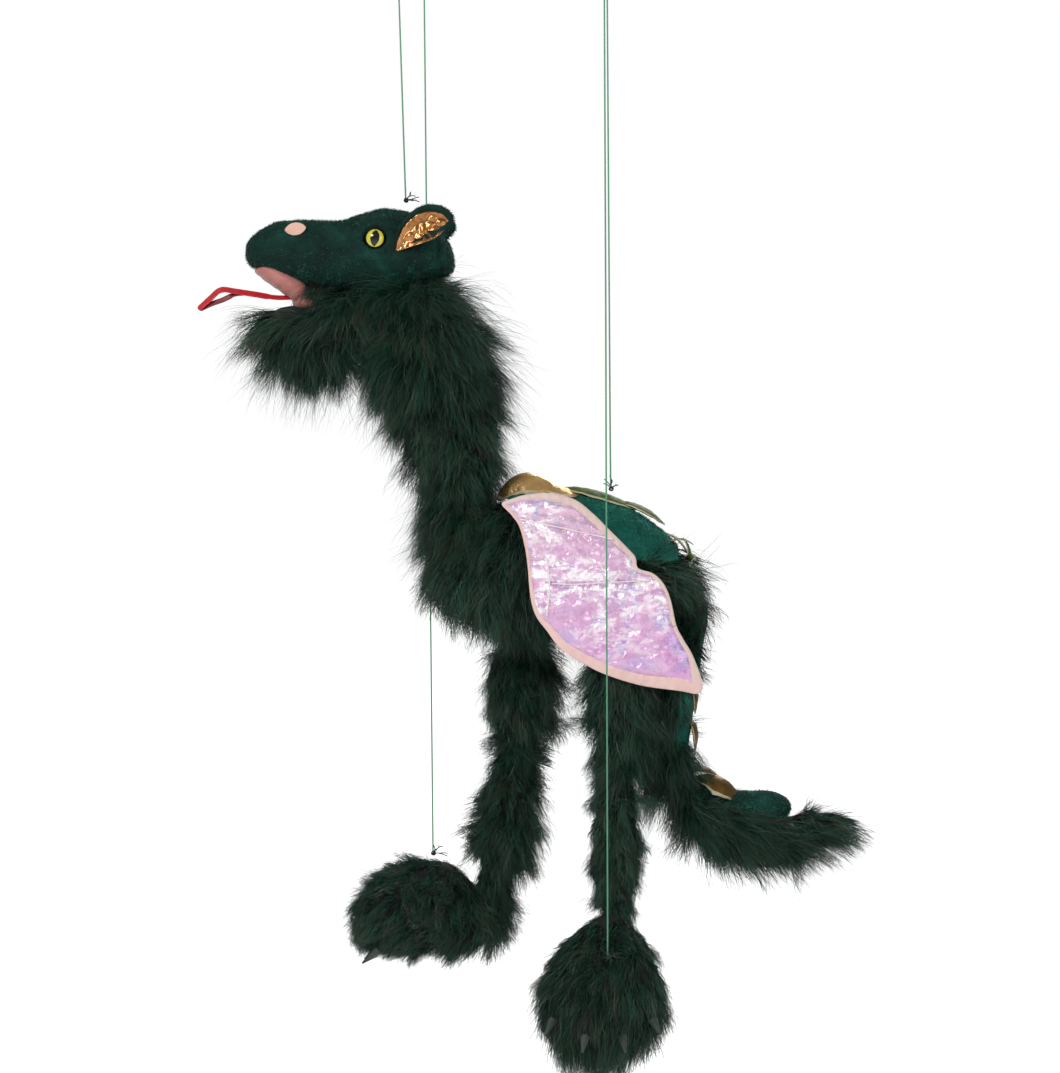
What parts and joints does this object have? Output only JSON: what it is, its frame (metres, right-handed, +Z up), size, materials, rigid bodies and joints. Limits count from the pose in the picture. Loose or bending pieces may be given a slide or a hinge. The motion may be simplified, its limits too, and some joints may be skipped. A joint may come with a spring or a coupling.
{
  "type": "string puppet dragon",
  "caption": "Plush winged dragon marionette with shaggy neck, legs and tail, velvet head and back, film wings, hung on strings from a crossed wooden control.",
  "frame": {"origin": "centre of the hanging hole in the control's handle", "axes": "+Z up, -X the way the dragon faces, -Y its left side"},
  "size_m": [0.4881, 0.1819, 0.9568],
  "materials": {
    "bars": "sanded pale hardwood, oiled",
    "grip": "sanded darker hardwood",
    "beads": "turned, waxed",
    "screw": "zinc plated",
    "string": "thin green nylon cord",
    "thread": "black sewing thread",
    "velvet": "dark green short-pile velvet",
    "long_fur": "long shaggy black-green pile",
    "stuffing": "polyester fibre",
    "gold_lame": "gold and bronze lame, olive green face",
    "eye": "clear yellow dome with a black slit pupil",
    "washer": "moulded lock washer",
    "felt": "pale pink felt",
    "ear_foil": "crinkled copper-gold foil cloth",
    "satin": "pink satin",
    "ribbon": "narrow red satin ribbon",
    "film": "iridescent pink and lilac film over cloth, crinkled",
    "wing_cloth": "pale peach cloth",
    "claw": "pale grey felt",
    "button": "moulded",
    "weight": "round steel disc"
  },
  "bodies": {
    "control": {"main_bar": "bars", "leg_bar": "bars", "handle": "grip", "centre_screw": "screw"},
    "torso": {"body_stuffing": "stuffing", "back_velvet": "velvet", "belly_fur": "long_fur", "spine_crest": "gold_lame", "back_tie": "thread", "back_string": "string", "back_bead": "beads", "left_wing_tab": "velvet"},
    "right_wing_root": {"right_wing_tab": "velvet"},
    "neck": {"neck_fur": "long_fur", "neck_core": "stuffing"},
    "head": {"head_cover": "velvet", "head_stuffing": "stuffing", "eyes": "eye", "eye_washers": "washer", "nostrils": "felt", "left_ear": "velvet", "right_ear": "velvet", "ear_linings": "ear_foil", "mouth_lining": "satin", "lower_jaw": "long_fur", "tongue": "ribbon", "beard_fur": "long_fur", "head_tie": "thread"},
    "head_line": {"head_string": "string", "head_bead": "beads"},
    "left_wing": {"left_wing_film": "film", "left_wing_backing": "wing_cloth", "left_wing_border": "wing_cloth"},
    "right_wing": {"right_wing_film": "film", "right_wing_backing": "wing_cloth", "right_wing_border": "wing_cloth"},
    "tail_base": {"tail_upper": "long_fur", "tail_velvet": "velvet", "tail_scales": "gold_lame"},
    "tail_end": {"tail_tip": "long_fur", "tail_tip_velvet": "velvet"},
    "left_hip": {"left_hip_button": "button"},
    "left_upper_leg": {"left_thigh": "long_fur"},
    "left_lower_leg": {"left_shin": "long_fur"},
    "left_foot": {"left_paw": "long_fur", "left_claws": "claw", "left_foot_weight": "weight", "left_foot_tie": "thread"},
    "left_leg_line": {"left_leg_string": "string", "left_leg_bead": "beads"},
    "right_hip": {"right_hip_button": "button"},
    "right_upper_leg": {"right_thigh": "long_fur"},
    "right_lower_leg": {"right_shin": "long_fur"},
    "right_foot": {"right_paw": "long_fur", "right_claws": "claw", "right_foot_weight": "weight", "right_foot_tie": "thread"},
    "right_leg_line": {"right_leg_string": "string", "right_leg_bead": "beads"}
  },
  "joints": [
    {"name": "sway", "type": "hinge", "parent": "control", "child": "torso", "pos_m": [0, 0, -0.069], "axis": [1, 0, 0], "range_deg": [-3, 3]},
    {"name": "neck_swing", "type": "hinge", "parent": "torso", "child": "neck", "pos_m": [-0.04, 0, -0.556], "axis": [0, 1, 0], "range_deg": [-6, 10]},
    {"name": "head_level", "type": "hinge", "parent": "neck", "child": "head", "pos_m": [-0.062, 0, -0.392], "axis": [0, 1, 0], "range_deg": [-10.5, 6.5]},
    {"name": "head_line_tilt", "type": "hinge", "parent": "head", "child": "head_line", "pos_m": [-0.0745, 0, -0.316], "axis": [0, 1, 0], "range_deg": [-7, 4.5]},
    {"name": "left_wing_sweep", "type": "hinge", "parent": "torso", "child": "left_wing", "pos_m": [0.014, -0.057, -0.546], "axis": [0, 1, 0], "range_deg": [-35, 10]},
    {"name": "right_wing_flap", "type": "hinge", "parent": "torso", "child": "right_wing_root", "pos_m": [0.014, 0.038, -0.546], "axis": [1, 0, 0], "range_deg": [0, 75]},
    {"name": "right_wing_sweep", "type": "hinge", "parent": "right_wing_root", "child": "right_wing", "pos_m": [0.014, 0.057, -0.546], "axis": [0, 1, 0], "range_deg": [-35, 10]},
    {"name": "left_leg_swing", "type": "hinge", "parent": "torso", "child": "left_hip", "pos_m": [0.082, -0.036, -0.636], "axis": [0, 1, 0], "range_deg": [-15, 20]},
    {"name": "left_leg_lift", "type": "hinge", "parent": "left_hip", "child": "left_upper_leg", "pos_m": [0.082, -0.036, -0.636], "axis": [0, 1, 0], "range_deg": [0, 30]},
    {"name": "left_knee", "type": "hinge", "parent": "left_upper_leg", "child": "left_lower_leg", "pos_m": [0.082, -0.036, -0.7385], "axis": [0, 1, 0], "range_deg": [-61, 0]},
    {"name": "left_ankle", "type": "hinge", "parent": "left_lower_leg", "child": "left_foot", "pos_m": [0.082, -0.036, -0.841], "axis": [0, 1, 0], "range_deg": [0, 31]},
    {"name": "left_line_tilt", "type": "hinge", "parent": "left_foot", "child": "left_leg_line", "pos_m": [0.075, -0.09, -0.872], "axis": [0, 1, 0], "range_deg": [-14.5, 11]},
    {"name": "right_leg_swing", "type": "hinge", "parent": "torso", "child": "right_hip", "pos_m": [0.014, 0.036, -0.636], "axis": [0, 1, 0], "range_deg": [0, 15]},
    {"name": "right_leg_lift", "type": "hinge", "parent": "right_hip", "child": "right_upper_leg", "pos_m": [0.014, 0.036, -0.636], "axis": [0, 1, 0], "range_deg": [0, 31]},
    {"name": "right_knee", "type": "hinge", "parent": "right_upper_leg", "child": "right_lower_leg", "pos_m": [0.008, 0.036, -0.734], "axis": [0, 1, 0], "range_deg": [-61, 0]},
    {"name": "right_ankle", "type": "hinge", "parent": "right_lower_leg", "child": "right_foot", "pos_m": [-0.01, 0.036, -0.832], "axis": [0, 1, 0], "range_deg": [0, 30]},
    {"name": "right_line_tilt", "type": "hinge", "parent": "right_foot", "child": "right_leg_line", "pos_m": [-0.055, 0.036, -0.808], "axis": [0, 1, 0], "range_deg": [-12, 0.5]},
    {"name": "tail_swing", "type": "hinge", "parent": "torso", "child": "tail_base", "pos_m": [0.148, 0, -0.608], "axis": [0, 1, 0], "range_deg": [-25, 10]},
    {"name": "tail_curl", "type": "hinge", "parent": "tail_base", "child": "tail_end", "pos_m": [0.129, 0, -0.752], "axis": [0, 0, 1], "range_deg": [-30, 30]}
  ],
  "couplings": [
    {"joint": "head_level", "follows": "neck_swing", "ratio": -1},
    {"joint": "head_line_tilt", "follows": "neck_swing", "ratio": -0.667},
    {"joint": "left_knee", "follows": "left_leg_lift", "ratio": -2},
    {"joint": "left_ankle", "follows": "left_leg_lift", "ratio": 1},
    {"joint": "left_line_tilt", "follows": "left_leg_swing", "ratio": -0.704},
    {"joint": "right_knee", "follows": "right_leg_lift", "ratio": -1.932},
    {"joint": "right_ankle", "follows": "right_leg_lift", "ratio": 0.932},
    {"joint": "right_line_tilt", "follows": "right_leg_swing", "ratio": -0.772}
  ]
}
